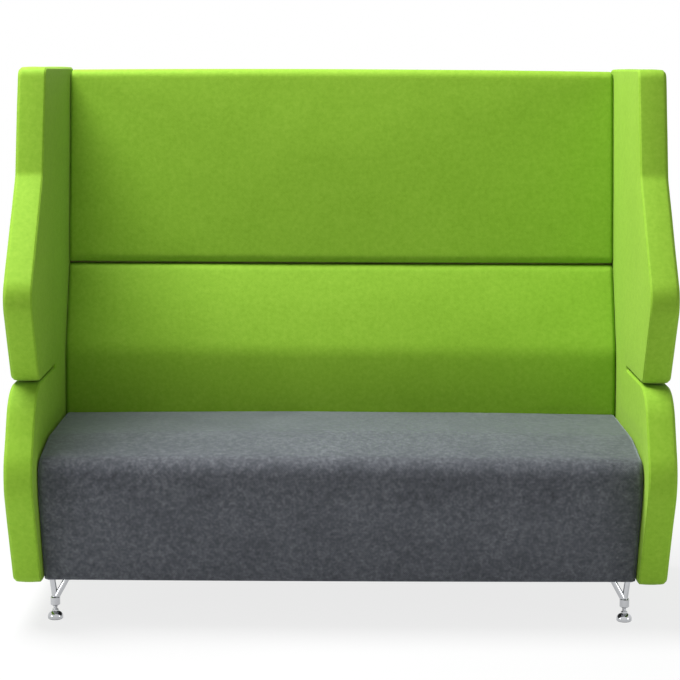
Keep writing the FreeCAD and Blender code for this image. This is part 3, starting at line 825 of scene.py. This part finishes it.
def woven_cloth(name, pitch, stops, sheen, sheen_tint, fleck_scales, thread_share):
    """Woven wool: threads, mottled fibre colours, rubbed edges, fuzz and a soft sheen."""
    made, tree, shader = new_material(name)
    height = weave_height(tree, pitch)
    place = tree.nodes.new("ShaderNodeTexCoord").outputs["Object"]
    fibre_scale, clump_scale, broad_scale = fleck_scales
    fibre = noise_at(tree, place, fibre_scale, detail=3.0, roughness=0.65)
    clump = noise_at(tree, place, clump_scale, detail=2.0, roughness=0.6)
    broad = noise_at(tree, place, broad_scale)
    mottle = math_node(tree, "MULTIPLY", fibre, fibre_share)
    for grain, share in ((clump, clump_share), (broad, broad_share), (height, thread_share)):
        mottle = math_node(tree, "ADD", mottle, math_node(tree, "MULTIPLY", grain, share))
    rubbed = add_node(tree, "ShaderNodeMapRange", {
        "From Min": rub_from, "From Max": rub_full, "To Min": 0.0, "To Max": rub_lift})
    tree.links.new(tree.nodes.new("ShaderNodeNewGeometry").outputs["Pointiness"], rubbed.inputs["Value"])
    mottle = math_node(tree, "ADD", mottle, rubbed.outputs["Result"])
    tree.links.new(ramp(tree, mottle, stops), shader.inputs["Base Color"])
    set_roughness(tree, shader, fibre, cloth_roughness)
    shader.inputs["Specular IOR Level"].default_value = cloth_specular
    shader.inputs["Sheen Weight"].default_value = sheen
    shader.inputs["Sheen Roughness"].default_value = sheen_roughness
    shader.inputs["Sheen Tint"].default_value = (*sheen_tint, 1)
    fuzz = math_node(tree, "ADD", height, math_node(tree, "MULTIPLY", fibre, fuzz_share))
    add_bump(tree, shader, fuzz, fuzz_strength, fuzz_depth)
    return made


green_cloth = woven_cloth(
    "green_cloth", 0.0021,
    [(0.25, (0.172, 0.340, 0.016)), (0.55, (0.230, 0.430, 0.028)), (0.85, (0.295, 0.505, 0.048))],
    sheen=0.12, sheen_tint=(0.90, 1.0, 0.45), fleck_scales=(420.0, 90.0, 7.0), thread_share=0.10)
grey_wool = woven_cloth(
    "grey_wool", 0.0026,
    [(0.34, (0.035, 0.038, 0.045)), (0.52, (0.070, 0.075, 0.086)), (0.72, (0.140, 0.148, 0.164))],
    sheen=0.46, sheen_tint=(0.76, 0.82, 0.98), fleck_scales=(210.0, 80.0, 9.0), thread_share=0.06)


def metal(name, colour, scale, rough, scratch):
    """Plated metal: slightly cloudy, with fine rubbing marks."""
    made, tree, shader = new_material(name)
    place = tree.nodes.new("ShaderNodeTexCoord").outputs["Object"]
    cloud = noise_at(tree, place, scale, detail=3.0)
    stops = [(0.3, [cloud_shade * c for c in colour]), (0.7, colour)]
    tree.links.new(ramp(tree, cloud, stops), shader.inputs["Base Color"])
    shader.inputs["Metallic"].default_value = 1.0
    marks = noise_at(tree, place, scale * mark_ratio, detail=4.0, roughness=0.7)
    set_roughness(tree, shader, marks, rough)
    add_bump(tree, shader, marks, scratch, mark_depth)
    return made


def grainy(name, stops, scale, rough, bump, stretch=(1, 1, 1)):
    """Matt stuff with its grain: rubber, plywood, foam, wadding and spun cloth."""
    made, tree, shader = new_material(name)
    place = tree.nodes.new("ShaderNodeTexCoord").outputs["Object"]
    pulled = add_node(tree, "ShaderNodeMapping", {"Scale": stretch})
    tree.links.new(place, pulled.inputs["Vector"])
    grain = noise_at(tree, pulled.outputs["Vector"], scale, detail=4.0, roughness=0.6)
    tree.links.new(ramp(tree, grain, stops), shader.inputs["Base Color"])
    set_roughness(tree, shader, grain, rough)
    add_bump(tree, shader, grain, *bump)
    return made


def banded(name, stops, rib, rough, bump):
    """Webbing: slanting ribs and gaps of one width."""
    made, tree, shader = new_material(name)
    place = tree.nodes.new("ShaderNodeTexCoord").outputs["Object"]
    waves = {"Scale": math.pi / 10 / rib, "Distortion": 0.6, "Detail": 2.0}
    ribs = add_node(tree, "ShaderNodeTexWave", waves, bands_direction="DIAGONAL")
    tree.links.new(place, ribs.inputs["Vector"])
    tree.links.new(ramp(tree, ribs.outputs["Fac"], stops), shader.inputs["Base Color"])
    set_roughness(tree, shader, ribs.outputs["Fac"], rough)
    add_bump(tree, shader, ribs.outputs["Fac"], *bump)
    return made


finishes = {
    "green_cloth": green_cloth,
    "grey_wool": grey_wool,
    "foam": grainy(
        "foam", [(0.3, (0.62, 0.55, 0.38)), (0.7, (0.80, 0.74, 0.56))],
        scale=300, rough=(0.85, 0.95), bump=(0.5, 0.001)),
    "wadding": grainy(
        "wadding", [(0.3, (0.62, 0.62, 0.60)), (0.7, (0.80, 0.80, 0.78))],
        scale=120, rough=(0.9, 1.0), bump=(0.7, 0.003)),
    "webbing": banded(
        "webbing", [(0.2, (0.008, 0.008, 0.009)), (0.8, (0.030, 0.030, 0.033))],
        rib=0.003, rough=(0.6, 0.8), bump=(0.4, 0.0006)),
    "dust_cloth": grainy(
        "dust_cloth", [(0.3, (0.006, 0.006, 0.007)), (0.7, (0.020, 0.020, 0.022))],
        scale=500, rough=(0.8, 0.95), bump=(0.4, 0.0005)),
    "plywood": grainy(
        "plywood", [(0.35, (0.46, 0.29, 0.13)), (0.65, (0.62, 0.44, 0.24))],
        scale=60, rough=(0.5, 0.7), bump=(0.2, 0.0004), stretch=(1, 8, 1)),
    "chrome": metal("chrome", (0.54, 0.55, 0.57), scale=25, rough=(0.02, 0.09), scratch=0.03),
    "zinc_steel": metal("zinc_steel", (0.60, 0.61, 0.63), scale=90, rough=(0.22, 0.42), scratch=0.12),
    "rubber": grainy(
        "rubber", [(0.3, (0.010, 0.010, 0.010)), (0.7, (0.028, 0.028, 0.028))],
        scale=400, rough=(0.6, 0.85), bump=(0.3, 0.0003)),
}

for subpart in frame["record"]["subparts"]:
    shown = frame["nodes"][subpart["node"]]
    shown.data.materials.clear()
    shown.data.materials.append(finishes[subpart["material_slot"]])


def dress(piece, slot, *nodes, body="root"):
    """Gives a piece its finish, its body and the parts it stands for."""
    add_cloth_map(piece)
    piece.data.materials.append(finishes[slot])
    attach(piece, body)
    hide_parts(*nodes)


for side, seed, name in ((-1, 4, "left"), (1, 5, "right")):
    panel = side_panel("side_panel_" + name, side, seed)
    dress(panel, "green_cloth", "side_cover_" + name, "side_foam_inner_" + name, "side_foam_outer_" + name)

seat = seat_pad()
dress(seat, "grey_wool", "seat_cover", "seat_foam")
upper = upper_back_pad()
dress(upper, "green_cloth", "upper_back_cover", "upper_back_foam")
lumbar = lumbar_pad()
dress(lumbar, "green_cloth", "lumbar_cover", "lumbar_foam")
rear, rear_cut = rear_cloth()
dress(rear, "green_cloth", "rear_cover")
underside, underside_cut = underside_cloth()
dress(underside, "dust_cloth", "dust_cloth")
for corner in ("front_left", "front_right", "rear_left", "rear_right"):
    stud = threaded_stud("levelling_stud_" + corner, "foot_stud_" + corner)
    dress(stud, "zinc_steel", "foot_stud_" + corner, body="stud_" + corner)


# Stage, light and camera

def seen_directly(tree):
    """1 for rays from the camera, a mirror or glass."""
    path = tree.nodes.new("ShaderNodeLightPath")
    seen = math_node(tree, "MAXIMUM", path.outputs["Is Camera Ray"], path.outputs["Is Glossy Ray"])
    return math_node(tree, "MAXIMUM", seen, path.outputs["Is Transmission Ray"])


def set_floor():
    """Pale floor that keeps the shadow near the sofa and turns to plain white further out."""
    mesh = bpy.data.meshes.new("floor")
    corners = [(x * floor_half, y * floor_half, 0) for x, y in ((-1, -1), (1, -1), (1, 1), (-1, 1))]
    mesh.from_pydata(corners, [], [(0, 1, 2, 3)])
    floor = bpy.data.objects.new("floor", mesh)
    bpy.context.scene.collection.objects.link(floor)
    made, tree, shader = new_material("pale_floor")
    shader.inputs["Base Color"].default_value = (floor_shade, floor_shade, floor_shade, 1)
    shader.inputs["Roughness"].default_value = floor_roughness
    shader.inputs["Specular IOR Level"].default_value = 0.0
    white = add_node(tree, "ShaderNodeEmission", {"Color": (1, 1, 1, 1), "Strength": 1.0})
    place = tree.nodes.new("ShaderNodeTexCoord").outputs["Object"]
    away = add_node(tree, "ShaderNodeVectorMath", operation="LENGTH")
    tree.links.new(place, away.inputs[0])
    fade = add_node(tree, "ShaderNodeMapRange", {
        "From Min": floor_fade[0], "From Max": floor_fade[1],
        "To Min": floor_white[0], "To Max": floor_white[1]})
    tree.links.new(away.outputs["Value"], fade.inputs["Value"])
    share = math_node(tree, "MULTIPLY", seen_directly(tree), fade.outputs["Result"])
    mix = tree.nodes.new("ShaderNodeMixShader")
    tree.links.new(share, mix.inputs["Fac"])
    tree.links.new(shader.outputs["BSDF"], mix.inputs[1])
    tree.links.new(white.outputs["Emission"], mix.inputs[2])
    tree.links.new(mix.outputs["Shader"], tree.nodes["Material Output"].inputs["Surface"])
    mesh.materials.append(made)


def set_world():
    """White to look at, a plain soft fill to light with."""
    world = bpy.data.worlds.new("studio")
    bpy.context.scene.world = world
    world.use_nodes = True
    tree = world.node_tree
    fill = tree.nodes["Background"]
    fill.inputs["Color"].default_value = (1, 1, 1, 1)
    fill.inputs["Strength"].default_value = fill_strength
    white = add_node(tree, "ShaderNodeBackground", {"Color": (1, 1, 1, 1), "Strength": 1.0})
    mix = tree.nodes.new("ShaderNodeMixShader")
    tree.links.new(seen_directly(tree), mix.inputs["Fac"])
    tree.links.new(fill.outputs["Background"], mix.inputs[1])
    tree.links.new(white.outputs["Background"], mix.inputs[2])
    tree.links.new(mix.outputs["Shader"], tree.nodes["World Output"].inputs["Surface"])


def set_lamp(name, place, target, size, power):
    """A soft round lamp that faces its target."""
    lamp = bpy.data.lights.new(name, "AREA")
    lamp.shape = "DISK"
    lamp.size = size
    lamp.energy = power
    holder = bpy.data.objects.new(name, lamp)
    holder.location = place
    holder.rotation_euler = (Vector(target) - Vector(place)).to_track_quat("-Z", "Y").to_euler()
    bpy.context.scene.collection.objects.link(holder)


def set_camera():
    """The photograph's view: in front, level with the top, tilted down at the sofa."""
    data = bpy.data.cameras.new("camera")
    data.sensor_width = sensor_width
    data.lens = camera_lens
    camera = bpy.data.objects.new("camera", data)
    camera.location = camera_place
    camera.rotation_euler = (math.radians(camera_tilt), math.radians(camera_roll), 0)
    bpy.context.scene.collection.objects.link(camera)
    bpy.context.scene.camera = camera


set_floor()
set_world()
set_lamp("key", place=(-1.75, 0.0, 4.9), target=(0, 0, 0.7), size=3.0, power=440)
set_lamp("fill_left", place=(-2.2, -1.3, 0.45), target=(0, 0, 0.45), size=0.7, power=9)
set_lamp("fill_right", place=(2.2, -1.3, 0.45), target=(0, 0, 0.45), size=0.7, power=7)
set_camera()
bpy.context.scene.view_settings.view_transform = "Standard"
